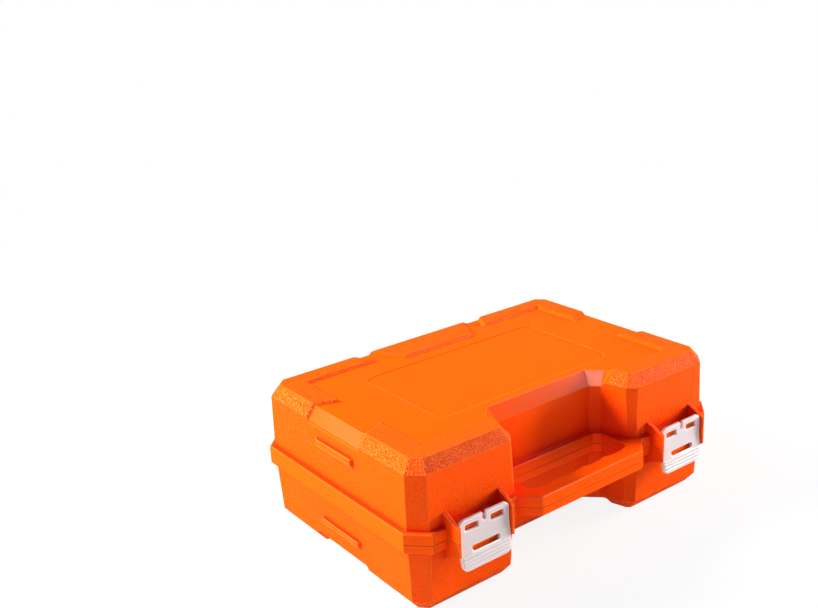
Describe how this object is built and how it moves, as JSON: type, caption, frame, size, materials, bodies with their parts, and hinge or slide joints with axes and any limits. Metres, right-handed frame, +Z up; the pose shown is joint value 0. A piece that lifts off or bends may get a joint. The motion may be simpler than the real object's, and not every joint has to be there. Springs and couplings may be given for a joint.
{
  "type": "organizer case",
  "caption": "Hinged moulded carrying case for small parts, with a finger-grooved fold-together handle, snap latches and lift-out dividers.",
  "frame": {"origin": "centre of the bounding box, on the plane the closed case lies on", "axes": "+X along the long side, -Y towards the handle and latches, +Y towards the hinges, +Z up through the lid"},
  "size_m": [0.3406, 0.2477, 0.1289],
  "materials": {
    "case_plastic": "grained pads, fine-grained walls, smooth flange and middle",
    "latch_plastic": "smooth satin",
    "pin_steel": "drawn wire",
    "divider_plastic": "smooth satin"
  },
  "bodies": {
    "base": {"base_shell": "case_plastic", "hinge_pin_left": "pin_steel", "hinge_pin_right": "pin_steel", "divider_long": "divider_plastic", "divider_rear_left": "divider_plastic", "divider_rear_right": "divider_plastic", "divider_front_left": "divider_plastic", "divider_front_right": "divider_plastic"},
    "lid": {"lid_shell": "case_plastic"},
    "latch_left": {"latch_left": "latch_plastic"},
    "latch_right": {"latch_right": "latch_plastic"}
  },
  "joints": [
    {"name": "lid_hinge", "type": "hinge", "parent": "base", "child": "lid", "pos_m": [0, 0.12015, 0.06445], "axis": [-1, 0, 0], "range_deg": [0, 180]},
    {"name": "latch_left_swing", "type": "hinge", "parent": "lid", "child": "latch_left", "pos_m": [-0.112, -0.11445, 0.0713], "axis": [-1, 0, 0], "range_deg": [0, 80]},
    {"name": "latch_right_swing", "type": "hinge", "parent": "lid", "child": "latch_right", "pos_m": [0.112, -0.11445, 0.0713], "axis": [-1, 0, 0], "range_deg": [0, 80]}
  ]
}
